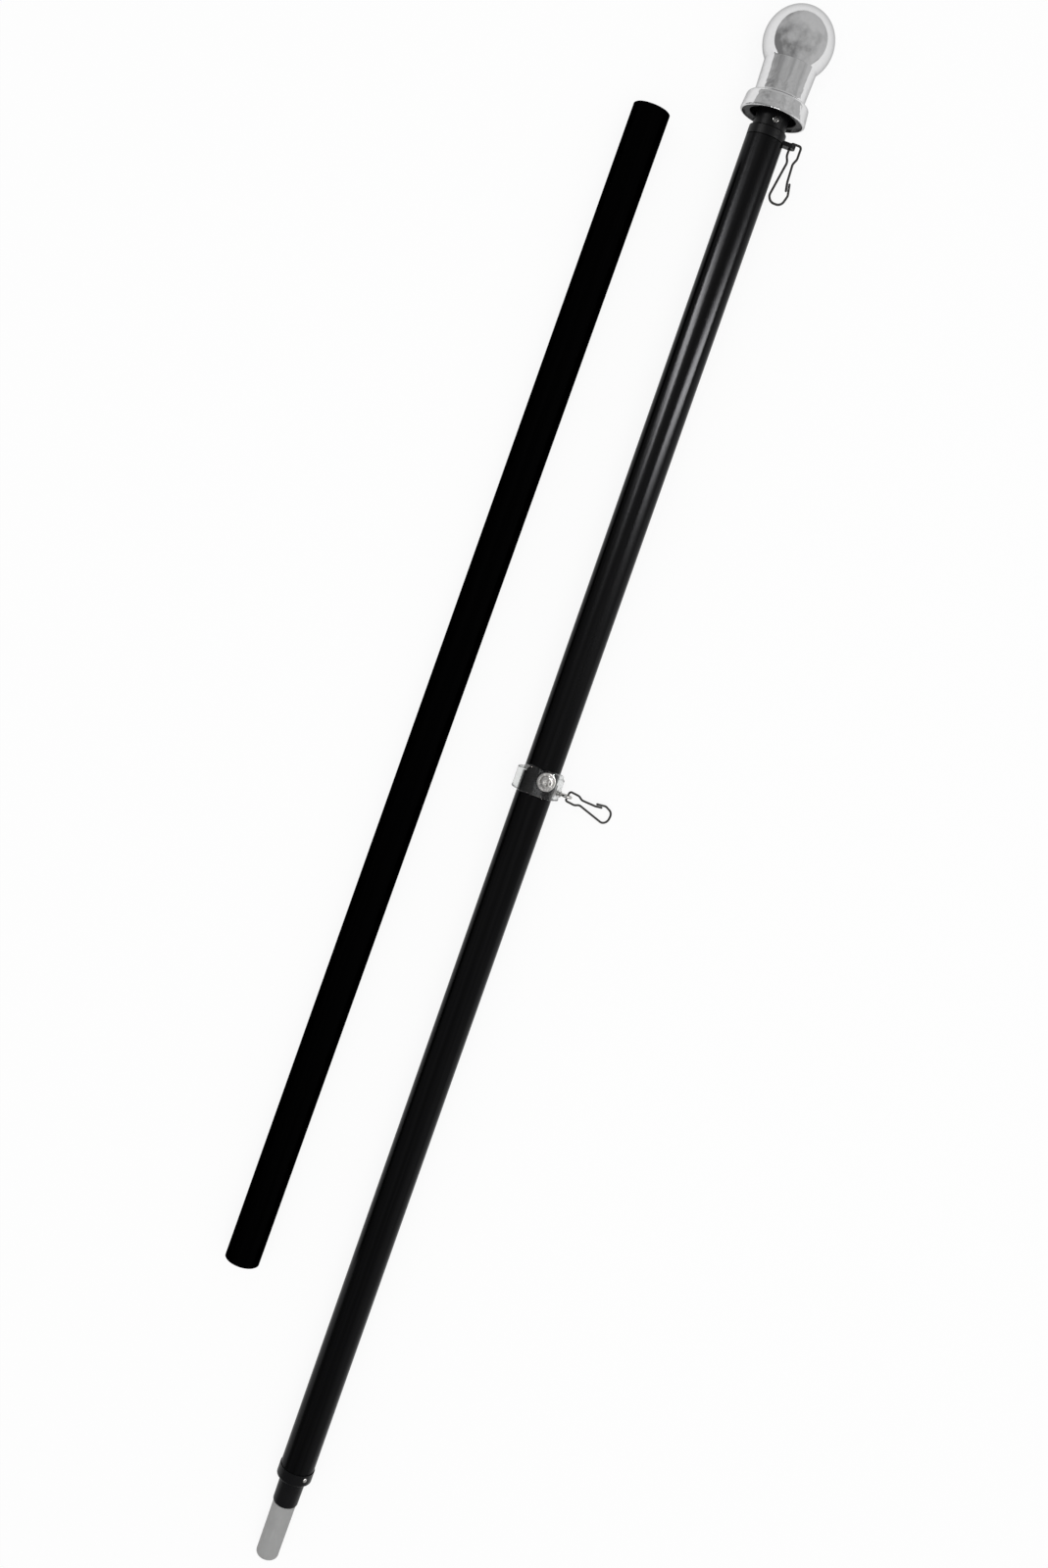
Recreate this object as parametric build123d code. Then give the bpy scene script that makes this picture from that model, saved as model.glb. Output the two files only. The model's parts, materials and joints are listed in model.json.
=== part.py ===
from build123d import *
import math
import os

# A two-section flagpole for a house wall, taken apart and laid on the floor.
# Millimetres, +Z up from the floor, +Y along the pole towards the ball.
# Pieces of the upper section are made upright round their own axis, with the
# tube's lower end at zero and the ear on the +X side, and are then laid down.

# Tubes
tube_diameter = 25.4
tube_wall = 3.0
tube_edge_break = 0.5
upper_tube_length = 986.5
lower_tube_length = 845.0

# Fits
press_gap = 0.05
running_gap = 0.08
sliding_gap = 0.3
joint_gap = 0.2
wedge_gap = 0.4
floor_gap = 0.1
cut_overrun = 2.0

# Plug in the head of the upper tube, with the ear that holds the top clip
# and the saucer and hub that carry the finial
plug_depth = 32.0
plug_flange_height = 6.3
plug_flange_round = 0.8
plug_neck_diameter = 22.4
plug_neck_showing = 7.6
ear_height = 2.8
ear_hole_offset = 4.6
ear_tip_radius = 3.6
ear_hole_diameter = 2.4
saucer_inset = 1.2
saucer_height = 6.5
saucer_round = 0.5
recess_diameter = 31.6
recess_depth = 5.0
hub_rise_share = 0.6

# Ball finial, a thin shell open at its foot
ball_diameter = 46.9
ball_centre_height = 49.7
finial_wall = 1.5
finial_collar_diameter = 44.6
finial_collar_height = 12.0
finial_collar_draft = 1.2
finial_collar_edge = 1.2
finial_collar_shoulder = 2.6
finial_neck_diameter = 35.6
finial_neck_draft = 0.9
finial_cove = 1.6
finial_crook = 0.8

# Screw that locks the neck of the plug
neck_screw_head_diameter = 4.6
neck_screw_head_height = 1.2
neck_screw_shank_diameter = 2.4
neck_screw_shank_length = 6.0
neck_screw_height = 4.8
neck_screw_sink = 0.4
neck_screw_angle = 8.0

# Bearing collar in the foot of the upper tube
collar_diameter = 26.4
collar_height = 9.2
collar_round = 1.2
collar_depth = 34.0
rivet_head_diameter = 3.2
rivet_head_height = 1.2
rivet_shank_diameter = 1.6
rivet_shank_length = 2.0
rivet_sink = 0.6
rivet_drop = 3.4
rivet_angle = 36.0

# Spindle that turns in the collar and plugs into the lower tube
peg_diameter = 16.1
peg_length = 45.0
peg_round = 2.6
peg_shoulder_round = 0.5
shaft_diameter = 12.0
shaft_head_height = 4.0
sleeve_length = 21.0
sleeve_tip_diameter = 17.6
sleeve_round = 1.2

# Clear clamp ring on the upper tube, with its screw and eye
ring_diameter = 34.0
ring_height = 15.2
ring_edge = 0.8
ring_centre_height = 536.0
pad_width = 27.0
pad_rise = 11.4
pad_round = 3.0
boss_diameter = 13.6
boss_height = 0.7
clamp_screw_rise = 4.4
clamp_screw_angle = 12.0
clamp_screw_flange_diameter = 13.2
clamp_screw_flange_height = 1.1
clamp_screw_head_diameter = 8.8
clamp_screw_head_height = 2.2
clamp_screw_head_round = 1.3
clamp_screw_shank_diameter = 5.0
driver_span = 5.2
driver_width = 1.5
driver_sink = 1.6
driver_taper = 9.0
eye_wire_diameter = 2.2
eye_centre_radius = 3.0
eye_shank_diameter = 2.8
eye_foot_diameter = 5.0
eye_foot_height = 0.6
eye_drop = 2.5
eye_angle = 90.0

# Bent wire clips
wire_diameter = 1.6
clip_length = 41.0
clip_head_width = 8.8
clip_neck_width = 5.4
clip_mouth_width = 13.4
clip_head_length = 8.4
clip_neck_place = 12.0
clip_shoulder_place = 32.0
clip_heel_place = 35.5
clip_tip_width = 9.0
clip_latch_length = 6.0
clip_latch_place = 24.0
wire_gap = 0.15
clip_corner_radius = 1.7
clip_bend_radius = 2.4
clip_mouth_radius = 3.2

# How the two sections lie
section_spacing = 81.7
lower_section_advance = 137.8
lower_section_splay = 0.75
ring_clip_yaw = 10.5

tube_radius = tube_diameter / 2
tube_bore = tube_diameter - 2 * tube_wall
ball_radius = ball_diameter / 2
finial_neck_radius = finial_neck_diameter / 2
finial_collar_radius = finial_collar_diameter / 2
finial_neck_top = ball_centre_height - math.sqrt(ball_radius**2 - finial_neck_radius**2)
finial_neck_foot_radius = finial_neck_radius - finial_neck_draft
plug_neck_radius = plug_neck_diameter / 2
collar_radius = collar_diameter / 2
peg_radius = peg_diameter / 2
shaft_radius = shaft_diameter / 2
ring_radius = ring_diameter / 2
wire_radius = wire_diameter / 2
eye_wire_radius = eye_wire_diameter / 2
plug_top = upper_tube_length + plug_flange_height
ear_top = upper_tube_length + ear_height
finial_foot = plug_top + plug_neck_showing
ball_place = finial_foot + ball_centre_height
collar_foot = -collar_height
sleeve_top = collar_foot - sliding_gap
sleeve_foot = sleeve_top - sleeve_length
peg_foot = sleeve_foot - peg_length
eye_reach = ring_radius + eye_foot_height + eye_wire_radius + eye_centre_radius
eye_place = ring_centre_height - eye_drop
clip_seat = eye_wire_radius + wire_radius + joint_gap
clip_span = clip_length - wire_diameter
hinge_reach = tube_radius + ear_hole_offset


def turned(*corners):
    """A solid of revolution from corners given as radius, height and corner radius."""
    points = [(radius, 0, height) for radius, height, _ in corners]
    rounds = [corner for _, _, corner in corners]
    return revolve(make_face(FilletPolyline(*points, radius=rounds, close=True)), Axis.Z)


def rod(diameter, low, high):
    """A plain cylinder on the pole's axis."""
    return Pos(0, 0, low) * Cylinder(diameter / 2, high - low, align=(Align.CENTER, Align.CENTER, Align.MIN))


def facing(angle, height):
    """A place on the axis whose own +Z points out sideways, turned from the upper side towards the ear."""
    return Pos(0, 0, height) * Rot(0, 0, angle) * Rot(90, 0, 0)


def tube(length):
    """A length of tube with both cut edges broken."""
    pipe = rod(tube_diameter, 0, length) - rod(tube_bore, -cut_overrun, length + cut_overrun)
    ends = pipe.edges().filter_by(GeomType.CIRCLE)
    return chamfer(ends, tube_edge_break)


def cross_recess(face):
    """Cross-shaped driver recess that narrows as it sinks from a screw's top face."""
    cross = Rectangle(driver_span, driver_width) + Rectangle(driver_width, driver_span)
    return Pos(0, 0, face) * extrude(cross, -driver_sink, taper=driver_taper)


def top_plug():
    """Moulded plug: spigot in the tube, flange with the ear, neck, and the saucer and hub in the finial."""
    spigot_radius = tube_bore / 2 - press_gap
    saucer_foot = finial_foot + saucer_inset
    saucer_top = saucer_foot + saucer_height
    saucer_radius = finial_collar_radius - finial_wall - press_gap
    recess_top = saucer_foot + recess_depth
    hub_radius = finial_neck_foot_radius - finial_wall - press_gap
    neck_run = finial_neck_top - finial_collar_height
    hub_top = finial_foot + finial_collar_height + neck_run * hub_rise_share
    body = turned(
        (0, upper_tube_length - plug_depth, 0),
        (spigot_radius, upper_tube_length - plug_depth, plug_flange_round),
        (spigot_radius, upper_tube_length, 0),
        (tube_radius, upper_tube_length, 0),
        (tube_radius, plug_top, plug_flange_round),
        (plug_neck_radius, plug_top, 0),
        (plug_neck_radius, recess_top, 0),
        (recess_diameter / 2, recess_top, 0),
        (recess_diameter / 2, saucer_foot, saucer_round),
        (saucer_radius, saucer_foot, 0),
        (saucer_radius, saucer_top, saucer_round),
        (hub_radius, saucer_top, 0),
        (hub_radius, hub_top, plug_flange_round),
        (0, hub_top, 0),
    )
    ear = extrude(SlotCenterToCenter(2 * hinge_reach, 2 * ear_tip_radius), ear_height)
    ear = ear & Pos(hinge_reach, 0, 0) * Box(
        2 * (hinge_reach - plug_neck_radius), 4 * ear_tip_radius, 2 * plug_flange_height
    )
    ear = Pos(0, 0, upper_tube_length) * ear
    hole = Pos(hinge_reach, 0, 0) * rod(ear_hole_diameter, upper_tube_length - cut_overrun, ear_top + cut_overrun)
    seat = plug_neck_radius - neck_screw_sink
    screw_hole = rod(neck_screw_shank_diameter, seat - neck_screw_shank_length, seat + cut_overrun)
    screw_seat = rod(neck_screw_head_diameter + 2 * press_gap, seat, seat + cut_overrun)
    screw_cut = facing(neck_screw_angle, plug_top + neck_screw_height) * (screw_hole + screw_seat)
    return body + ear - hole - screw_cut


def ball_finial():
    """Thin-walled ball, neck and collar in one shell, both drawn in a little where they meet."""
    skin = turned(
        (0, 0, 0),
        (finial_collar_radius, 0, finial_collar_edge),
        (finial_collar_radius - finial_collar_draft, finial_collar_height, finial_collar_shoulder),
        (finial_neck_foot_radius, finial_collar_height, finial_cove),
        (finial_neck_radius, finial_neck_top, 0),
        (finial_neck_radius, ball_centre_height, 0),
        (0, ball_centre_height, 0),
    )
    inner_collar = finial_collar_radius - finial_wall
    inner_neck = finial_neck_foot_radius - finial_wall
    inner_height = finial_collar_height - finial_wall
    hollow = turned(
        (0, -cut_overrun, 0),
        (inner_collar, -cut_overrun, 0),
        (inner_collar, saucer_inset + saucer_height, 0),
        (inner_collar - finial_collar_draft, inner_height, finial_collar_shoulder - finial_wall),
        (inner_neck, inner_height, finial_cove),
        (inner_neck, ball_centre_height, 0),
        (0, ball_centre_height, 0),
    )
    ball = Pos(0, 0, ball_centre_height) * Sphere(ball_radius)
    ball_hollow = Pos(0, 0, ball_centre_height) * Sphere(ball_radius - finial_wall)
    body = skin + ball
    crook = body.edges().filter_by(Plane.XY).sort_by(Axis.Z)[-1]
    body = fillet(crook, finial_crook)
    return Pos(0, 0, finial_foot) * (body - hollow - ball_hollow)


def neck_screw():
    """Low round-headed screw in the neck of the plug."""
    seat = plug_neck_radius - neck_screw_sink
    shank = rod(neck_screw_shank_diameter - 2 * press_gap, seat - neck_screw_shank_length + press_gap, seat)
    head = turned(
        (0, seat, 0),
        (neck_screw_head_diameter / 2, seat, 0),
        (neck_screw_head_diameter / 2, seat + neck_screw_head_height, neck_screw_head_height / 2),
        (0, seat + neck_screw_head_height, 0),
    )
    return facing(neck_screw_angle, plug_top + neck_screw_height) * (shank + head)


def bottom_collar():
    """Flanged bearing bush in the foot of the upper tube."""
    spigot_radius = tube_bore / 2 - press_gap
    bush = turned(
        (0, collar_foot, 0),
        (collar_radius, collar_foot, collar_round),
        (collar_radius, 0, 0),
        (spigot_radius, 0, 0),
        (spigot_radius, collar_depth, 0),
        (0, collar_depth, 0),
    )
    bore = rod(shaft_diameter + 2 * running_gap, collar_foot - cut_overrun, collar_depth + cut_overrun)
    seat = collar_radius - rivet_sink
    rivet_hole = rod(rivet_shank_diameter, seat - rivet_shank_length, seat + cut_overrun)
    rivet_seat = rod(rivet_head_diameter + 2 * press_gap, seat, seat + cut_overrun)
    rivet_cut = facing(rivet_angle, -rivet_drop) * (rivet_hole + rivet_seat)
    return bush - bore - rivet_cut


def collar_rivet():
    """Small bright rivet in the side of the bearing collar."""
    seat = collar_radius - rivet_sink
    shank = rod(rivet_shank_diameter - 2 * press_gap, seat - rivet_shank_length + press_gap, seat)
    head = turned(
        (0, seat, 0),
        (rivet_head_diameter / 2, seat, 0),
        (rivet_head_diameter / 2, seat + rivet_head_height, rivet_head_height / 2),
        (0, seat + rivet_head_height, 0),
    )
    return facing(rivet_angle, -rivet_drop) * (shank + head)


def spindle_peg():
    """Peg with a thinner shaft through sleeve and collar, and a head that keeps it there."""
    head_low = collar_depth + sliding_gap
    head_high = head_low + shaft_head_height
    head_radius = tube_bore / 2 - sliding_gap
    return turned(
        (0, peg_foot, 0),
        (peg_radius, peg_foot, peg_round),
        (peg_radius, sleeve_foot, peg_shoulder_round),
        (shaft_radius, sleeve_foot, 0),
        (shaft_radius, head_low, 0),
        (head_radius, head_low, 0),
        (head_radius, head_high, 0),
        (0, head_high, 0),
    )


def joint_sleeve():
    """Tapered sleeve on the shaft that wedges into the mouth of the lower tube."""
    inner_radius = shaft_radius + press_gap
    root_radius = tube_bore / 2 - wedge_gap
    return turned(
        (inner_radius, sleeve_foot, 0),
        (sleeve_tip_diameter / 2, sleeve_foot, sleeve_round),
        (root_radius, sleeve_top, 0),
        (inner_radius, sleeve_top, 0),
    )


def rounded_disc(top):
    """Disc of the ring's diameter from the ring's foot up to a given height, with rounded edges."""
    return turned(
        (0, -ring_height / 2, 0),
        (ring_radius, -ring_height / 2, ring_edge),
        (ring_radius, top, ring_edge),
        (0, top, 0),
    )


def clamp_ring():
    """Clear ring with a taller pad and a flat boss under its screw, and a hole for the eye."""
    bore = tube_diameter + 2 * sliding_gap
    half = ring_height / 2
    pad_height = pad_rise + half
    band = rounded_disc(half)
    pad_front = extrude(RectangleRounded(pad_width, pad_height, pad_round), ring_radius)
    pad = rounded_disc(pad_rise) & facing(clamp_screw_angle, pad_rise - pad_height / 2) * pad_front
    boss = facing(clamp_screw_angle, clamp_screw_rise) * rod(boss_diameter, 0, ring_radius + boss_height)
    screw_hole = facing(clamp_screw_angle, clamp_screw_rise) * rod(
        clamp_screw_shank_diameter, 0, ring_radius + boss_height + cut_overrun
    )
    eye_hole = facing(eye_angle, -eye_drop) * rod(eye_shank_diameter, 0, ring_radius + cut_overrun)
    ring = band + pad + boss - rod(bore, -pad_height, pad_height) - screw_hole - eye_hole
    return Pos(0, 0, ring_centre_height) * ring


def clamp_screw():
    """Flanged pan-head screw with a cross recess, through the clear ring."""
    seat = ring_radius + boss_height
    flange_top = seat + clamp_screw_flange_height
    head_top = flange_top + clamp_screw_head_height
    head = turned(
        (0, seat, 0),
        (clamp_screw_flange_diameter / 2, seat, 0),
        (clamp_screw_flange_diameter / 2, flange_top, clamp_screw_flange_height / 2),
        (clamp_screw_head_diameter / 2, flange_top, 0),
        (clamp_screw_head_diameter / 2, head_top, clamp_screw_head_round),
        (0, head_top, 0),
    )
    shank = rod(clamp_screw_shank_diameter - 2 * press_gap, tube_radius + sliding_gap, seat)
    screw = head + shank - cross_recess(head_top)
    return facing(clamp_screw_angle, ring_centre_height + clamp_screw_rise) * screw


def ring_eye():
    """Screw eye in the side of the clear ring."""
    centre = Pos(eye_reach, 0, eye_place)
    loop = centre * Torus(eye_centre_radius, eye_wire_radius)
    outwards = facing(eye_angle, eye_place)
    foot = outwards * rod(eye_foot_diameter, ring_radius, ring_radius + eye_foot_height)
    shank = outwards * rod(
        eye_shank_diameter - 2 * press_gap, tube_radius + sliding_gap, eye_reach - eye_centre_radius
    )
    return shank + foot + loop


def wire_clip():
    """Bent wire clip in its own plane, from its head at zero along +X, latched on the +Y leg."""
    head = clip_head_width / 2 - wire_radius
    neck = clip_neck_width / 2 - wire_radius
    mouth = clip_mouth_width / 2 - wire_radius
    tip = clip_tip_width / 2 - wire_radius
    spread_share = (mouth - neck) / (clip_shoulder_place - clip_neck_place)
    catch = neck + (clip_latch_place - clip_neck_place) * spread_share
    latch = catch - wire_diameter - wire_gap
    points = [
        (clip_latch_place + clip_latch_length, latch + clip_latch_length * spread_share),
        (clip_latch_place, latch),
        (clip_neck_place, neck),
        (clip_head_length, head),
        (0, head),
        (0, -head),
        (clip_head_length, -head),
        (clip_neck_place, -neck),
        (clip_heel_place, -mouth),
        (clip_span, -tip),
        (clip_span, tip),
        (clip_shoulder_place, mouth),
        (clip_latch_place, catch),
    ]
    rounds = [
        clip_bend_radius,
        clip_bend_radius,
        clip_bend_radius,
        clip_corner_radius,
        clip_corner_radius,
        clip_bend_radius,
        clip_bend_radius,
        clip_mouth_radius,
        clip_mouth_radius,
        clip_mouth_radius,
        clip_mouth_radius,
    ]
    path = FilletPolyline(*points, radius=rounds)
    section = Plane(origin=path @ 0, z_dir=path % 0) * Circle(wire_radius)
    return sweep(section, path=path)


def top_clip():
    """Clip hung by its head through the ear, along the pole."""
    head_centre = hinge_reach + clip_head_width / 2 - wire_radius
    head_height = ear_top + joint_gap + wire_radius
    place = Plane(origin=(head_centre, 0, head_height), x_dir=(0, 0, -1), z_dir=(0, -1, 0))
    return place.location * wire_clip()


def yawed_clip():
    """Clip in its own plane, turned about the bar of the eye that it hangs on."""
    return Rot(0, 0, -ring_clip_yaw) * Pos(-clip_seat, 0, 0) * wire_clip()


def ring_clip():
    """Clip hung by its head through the eye of the clear ring, drooping to the floor."""
    along = Vector(math.cos(clip_droop), math.sin(clip_droop), 0)
    bar = Vector(eye_reach, 0, eye_place) + along * eye_centre_radius
    place = Plane(origin=bar, x_dir=along, z_dir=(math.sin(clip_droop), -math.cos(clip_droop), 0))
    return place.location * yawed_clip()


# The upper section leans on its ball and on the edge of its bearing collar.
rest_place = collar_foot + collar_round
rest_run = ball_place - rest_place
lay_pitch = math.asin(ball_radius / math.hypot(rest_run, collar_radius)) - math.atan2(collar_radius, rest_run)
foot_axis_height = collar_radius * math.cos(lay_pitch) - rest_place * math.sin(lay_pitch)
eye_axis_height = foot_axis_height + eye_place * math.sin(lay_pitch)
droop_run = eye_centre_radius + yawed_clip().bounding_box().max.X - wire_radius
clip_droop = math.asin((eye_axis_height - wire_radius - floor_gap) / droop_run)

left_reach = section_spacing + tube_radius + lower_tube_length / 2 * math.sin(math.radians(lower_section_splay))
right_reach = eye_reach + droop_run * math.cos(clip_droop) + wire_radius
upper_axis_x = (left_reach - right_reach) / 2
upper_foot_y = -(ball_place + ball_radius + peg_foot) / 2 * math.cos(lay_pitch)

pole_direction = Vector(0, math.cos(lay_pitch), math.sin(lay_pitch))
upper_lay = Plane(
    origin=(upper_axis_x, upper_foot_y, foot_axis_height), x_dir=(1, 0, 0), z_dir=pole_direction
).location
lower_direction = Vector(0, 1, 0).rotate(Axis.Z, -lower_section_splay)
lower_middle_y = upper_foot_y + lower_section_advance + lower_tube_length / 2
lower_middle = Vector(upper_axis_x - section_spacing, lower_middle_y, tube_radius)
lower_lay = Plane(
    origin=lower_middle - lower_direction * (lower_tube_length / 2), x_dir=(1, 0, 0), z_dir=lower_direction
).location

upper_section = {
    "upper_tube": tube(upper_tube_length),
    "top_plug": top_plug(),
    "ball_finial": ball_finial(),
    "neck_screw": neck_screw(),
    "bottom_collar": bottom_collar(),
    "collar_rivet": collar_rivet(),
    "spindle_peg": spindle_peg(),
    "joint_sleeve": joint_sleeve(),
    "clamp_ring": clamp_ring(),
    "clamp_screw": clamp_screw(),
    "ring_eye": ring_eye(),
    "top_clip": top_clip(),
    "ring_clip": ring_clip(),
}
pieces = {name: upper_lay * piece for name, piece in upper_section.items()}
pieces["lower_tube"] = lower_lay * tube(lower_tube_length)

os.makedirs("parts", exist_ok=True)
for name, piece in pieces.items():
    export_step(piece, f"parts/{name}.step")
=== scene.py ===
import json
import math

import bpy
from bpy.props import FloatProperty, FloatVectorProperty, IntProperty, PointerProperty
from mathutils import Euler, Matrix, Vector

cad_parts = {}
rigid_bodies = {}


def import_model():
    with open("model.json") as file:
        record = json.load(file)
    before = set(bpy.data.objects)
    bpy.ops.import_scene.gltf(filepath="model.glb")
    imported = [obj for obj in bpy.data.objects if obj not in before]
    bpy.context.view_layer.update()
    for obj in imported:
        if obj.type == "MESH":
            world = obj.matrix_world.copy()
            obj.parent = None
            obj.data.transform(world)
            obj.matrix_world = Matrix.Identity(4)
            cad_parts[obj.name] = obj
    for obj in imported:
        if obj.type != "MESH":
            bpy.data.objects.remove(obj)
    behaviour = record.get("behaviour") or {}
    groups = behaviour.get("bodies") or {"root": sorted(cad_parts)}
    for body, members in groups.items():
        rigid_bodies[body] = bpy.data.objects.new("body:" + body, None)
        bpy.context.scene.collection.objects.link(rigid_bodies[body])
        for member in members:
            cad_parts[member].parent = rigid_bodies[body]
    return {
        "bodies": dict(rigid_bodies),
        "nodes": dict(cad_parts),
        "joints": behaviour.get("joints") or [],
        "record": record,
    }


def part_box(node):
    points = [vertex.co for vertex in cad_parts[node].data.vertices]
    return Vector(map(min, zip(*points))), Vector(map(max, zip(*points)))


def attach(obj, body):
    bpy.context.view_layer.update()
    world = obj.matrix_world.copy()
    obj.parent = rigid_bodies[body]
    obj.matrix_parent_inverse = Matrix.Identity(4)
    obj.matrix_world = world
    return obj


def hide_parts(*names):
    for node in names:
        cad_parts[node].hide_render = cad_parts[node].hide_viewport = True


bl_info = {
    "name": "Two-section flagpole",
    "version": (1, 0, 0),
    "blender": (4, 5, 0),
    "location": "View3D > Sidebar > Flagpole",
    "description": "Dresses the two sections of a house flagpole and lays them on a studio floor",
    "category": "Object",
}

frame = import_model()
loaded = {*frame["nodes"].values(), *frame["bodies"].values()}
for spare in [item for item in bpy.data.objects if item not in loaded]:
    bpy.data.objects.remove(spare)
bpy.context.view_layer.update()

joints = {joint["name"]: joint for joint in frame["joints"]}
mounts = {mount["name"]: mount for mount in frame["record"]["mounts"]}
POLE_FOOT = Vector(joints["spindle_spin"]["pos_m"])
POLE_AXIS = Vector(joints["spindle_spin"]["axis"]).normalized()
EAR_HOLE = Vector(joints["top_clip_swing"]["pos_m"])
EYE_BAR = Vector(joints["ring_clip_swing"]["pos_m"])
CLIP_NORMAL = Vector(joints["ring_clip_swing"]["axis"]).normalized()
LOWER_MIDDLE = Vector(mounts["lower_tube_mouth"]["pos_m"])
LOWER_AXIS = Vector(mounts["lower_tube_mouth"]["axis"]).normalized()
ACROSS = Vector((1, 0, 0))
UP = ACROSS.cross(POLE_AXIS)

MM_PER_METRE = 1000
TUBE_EDGE_BREAK = 0.0005  # the mount stops short of each cut end by this much
WIRE_SIDES = 20
BEND_STEPS = 14
STEPS_PER_WIRE = 6  # points along the wire in one wire's width
NOSE_FLAT = 0.25  # width of the flat on a nosed end, as a share of the wire's
THREAD_STEPS = 40  # points in one turn
RIDGE_SIDES = 6
TURNED_SIDES = 72
ROUND_STEP = 9  # degrees between the points of a turned round
FLOOR_DROP = 0.0002  # keeps the floor clear of the pieces that rest on it
SENSOR = 36.0
WHITE = (1, 1, 1, 1)
ROOM_LEAN = (0.5, 0.6, 0.2)  # the mirrored room is brighter this way
ROOM_TONES = [(0.28, 0.2), (0.5, 0.4), (0.72, 0.52)]
LAMPS = {
    "softbox": {"size": (2.4, 2.4), "place": (0.2, 0.1, 2.4), "aim": (0, 0, 0)},
    "strip_left": {"size": (0.12, 0.9), "place": (-1.15, 0.6, 1.1), "aim": (0, 0.3, 0)},
    "strip_right": {"size": (0.12, 1.0), "place": (1.2, 0.55, 1.1), "aim": (0, 0.25, 0)},
    "kicker": {"size": (0.6, 0.3), "place": (0.02, -1.6, 0.62), "aim": (0.02, 0.52, 0.02)},
    "gleam": {"size": (0.8, 0.8), "place": (1.1, 0.1, 1.0), "aim": (0.02, 0.04, 0.03)},
}


class TubeSettings(bpy.types.PropertyGroup):
    upper_colour: FloatVectorProperty(
        name="Upper tube",
        description="Black of the upper tube",
        subtype="COLOR",
        default=(0.014, 0.014, 0.0146),
    )
    # Painted shade: the lower tube is the same black as the upper tube, given a darker black here to stand in
    # for less light falling on it
    lower_shade_colour: FloatVectorProperty(
        name="Lower tube",
        description="Black of the lower tube",
        subtype="COLOR",
        default=(0.002, 0.002, 0.0021),
    )
    upper_glance: FloatVectorProperty(
        name="Upper glance",
        description="Tint of the upper tube at a glancing angle",
        subtype="COLOR",
        default=(0.74, 0.74, 0.74),
    )
    # Painted shade: a weaker glance than the upper tube's, so the lower tube's edges mirror less, standing in
    # for less light falling on it
    lower_shade_glance: FloatVectorProperty(
        name="Lower glance",
        description="Tint of the lower tube at a glancing angle",
        subtype="COLOR",
        default=(0.2, 0.2, 0.2),
    )
    bare_colour: FloatVectorProperty(
        name="Bare edge",
        description="Aluminium where the cut edge is rubbed",
        subtype="COLOR",
        default=(0.3, 0.3, 0.31),
    )
    roughness: FloatProperty(
        name="Roughness", description="Satin of the tubes", subtype="FACTOR", min=0, max=1, default=0.2
    )
    rubbed_edge: FloatProperty(
        name="Rubbed edge", description="Width of the rubbed band at a cut end", unit="LENGTH", default=0.0007
    )


class MouldingSettings(bpy.types.PropertyGroup):
    black: FloatVectorProperty(
        name="Black",
        description="Black of the plug, collar and sleeve",
        subtype="COLOR",
        default=(0.004, 0.004, 0.0044),
    )
    grey: FloatVectorProperty(
        name="Grey", description="Grey of the spindle peg", subtype="COLOR", default=(0.365, 0.365, 0.362)
    )
    clear: FloatVectorProperty(
        name="Clear", description="Tint of the clear ring", subtype="COLOR", default=(0.72, 0.73, 0.725)
    )
    grain: FloatProperty(
        name="Grain", description="Size of the moulded grain", unit="LENGTH", default=0.0005
    )


class MetalSettings(bpy.types.PropertyGroup):
    mirror: FloatVectorProperty(
        name="Mirror", description="Plating of the ball finial", subtype="COLOR", default=(0.82, 0.82, 0.825)
    )
    mirror_glance: FloatVectorProperty(
        name="Mirror glance",
        description="Tint of the plating at a glancing angle",
        subtype="COLOR",
        default=(0.6, 0.6, 0.6),
    )
    finial_rise: FloatProperty(
        name="Finial rise", description="Finial's foot above the ear's middle", unit="LENGTH", default=0.0125
    )
    screw: FloatVectorProperty(
        name="Screw",
        description="Nickel of the clamp screw, rivet and eye",
        subtype="COLOR",
        default=(0.62, 0.61, 0.59),
    )
    dark_screw: FloatVectorProperty(
        name="Dark screw", description="Steel of the neck screw", subtype="COLOR", default=(0.26, 0.255, 0.25)
    )
    wire: FloatVectorProperty(
        name="Wire", description="Steel of the bent clips", subtype="COLOR", default=(0.11, 0.108, 0.105)
    )


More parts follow.
